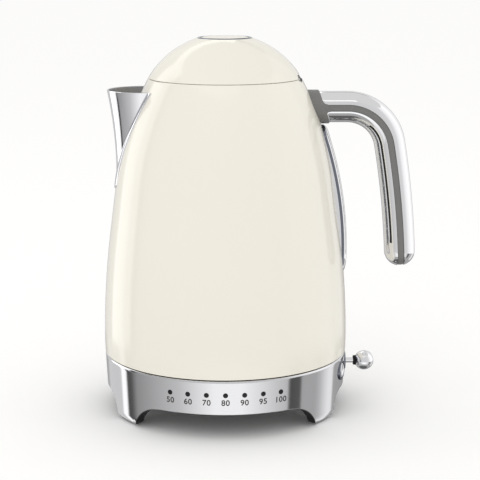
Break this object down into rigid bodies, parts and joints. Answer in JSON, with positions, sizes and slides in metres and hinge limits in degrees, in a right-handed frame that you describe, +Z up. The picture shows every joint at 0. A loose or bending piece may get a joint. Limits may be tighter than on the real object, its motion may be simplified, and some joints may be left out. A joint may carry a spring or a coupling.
{
  "type": "electric kettle",
  "caption": "Domed electric kettle: an enamelled lift-off jug with flared spout, hooked handle and hinged push-button lid, on a footed round power base with lever, selector and indicator dots.",
  "frame": {"origin": "on the jug's upright axis, at the worktop that the foot pads stand on", "axes": "+Z up along the jug's axis, +X towards the handle, -X towards the spout, -Y towards the front with the indicator dots"},
  "size_m": [0.2234, 0.1755, 0.2664],
  "materials": {
    "enamel": "glossy cream enamel on steel",
    "steel": "satin stainless steel",
    "chrome": "polished chrome",
    "chrome_plastic": "plastic with bright chrome plating",
    "cream_plastic": "glossy cream plastic",
    "grey_plastic": "smooth grey plastic",
    "black_plastic": "fine-grained black plastic",
    "rubber": "matt",
    "silicone": "matt pale silicone",
    "brass": "bare",
    "board": "coated circuit board",
    "lens": "dark smoked lens, unlit",
    "lamp": "clear lamp body",
    "window": "clear"
  },
  "bodies": {
    "base": {"base_ring": "steel", "base_feet": "steel", "base_deck": "black_plastic", "base_bottom_cover": "black_plastic", "foot_pads": "rubber", "base_plug": "black_plastic", "plug_contacts": "brass", "control_board": "board", "indicator_lenses": "lens", "indicator_leds": "lamp", "lever_escutcheon": "chrome", "lever_bracket": "steel", "lever_pin": "steel", "lever_switch": "black_plastic", "selector_bezel": "chrome", "selector_switch": "black_plastic", "cord_gland": "black_plastic", "base_screws": "steel"},
    "lever": {"lever_rod": "chrome", "lever_knob": "chrome"},
    "selector": {"selector_button": "chrome"},
    "connector": {"jug_socket": "black_plastic", "socket_contacts": "brass"},
    "jug": {"jug_shell": "enamel", "jug_collar": "grey_plastic", "hinge_pin": "steel", "spout": "chrome", "spout_filter_frame": "grey_plastic", "spout_filter_mesh": "steel", "jug_floor_cover": "black_plastic", "heater_seal": "silicone", "heater_plate": "steel", "heating_element": "steel", "thermal_cutouts": "black_plastic", "temperature_probe": "steel", "jug_screws": "steel", "handle_core": "grey_plastic", "handle_outer_shell": "chrome_plastic", "handle_inner_shell": "chrome_plastic", "handle_screws": "steel", "gauge_frame": "chrome_plastic", "gauge_window": "window", "gauge_seal": "silicone"},
    "lid": {"lid_shell": "enamel", "lid_liner": "grey_plastic", "lid_seal": "silicone", "lid_button_ring": "chrome", "lid_screws": "steel"},
    "button": {"lid_button": "cream_plastic"},
    "latch": {"lid_latch": "grey_plastic"}
  },
  "joints": [
    {"name": "lever_tilt", "type": "hinge", "parent": "base", "child": "lever", "pos_m": [0.076, 0, 0.0315], "axis": [0, 1, 0], "range_deg": [0, 12], "stiffness_Nm_per_rad": 0.05, "springref_deg": -17.19},
    {"name": "selector_press", "type": "slide", "parent": "base", "child": "selector", "axis": [-0.9563, 0.2924, 0], "range_m": [0, 0.0015], "stiffness_N_per_m": 400, "springref_m": -0.002},
    {"name": "jug_lift", "type": "slide", "parent": "base", "child": "connector", "axis": [0, 0, 1], "range_m": [0, 0.06]},
    {"name": "jug_swivel", "type": "hinge", "parent": "connector", "child": "jug", "pos_m": [0, 0, 0.044], "axis": [0, 0, 1], "continuous": true},
    {"name": "lid_open", "type": "hinge", "parent": "jug", "child": "lid", "pos_m": [0.051, 0, 0.2373], "axis": [0, 1, 0], "range_deg": [0, 75]},
    {"name": "lid_button_press", "type": "slide", "parent": "lid", "child": "button", "axis": [0, 0, -1], "range_m": [0, 0.003], "stiffness_N_per_m": 500, "springref_m": -0.002},
    {"name": "lid_latch_slide", "type": "slide", "parent": "lid", "child": "latch", "axis": [1, 0, 0], "range_m": [0, 0.0025]}
  ],
  "couplings": [
    {"joint": "lid_latch_slide", "follows": "lid_button_press", "ratio": 0.8}
  ]
}
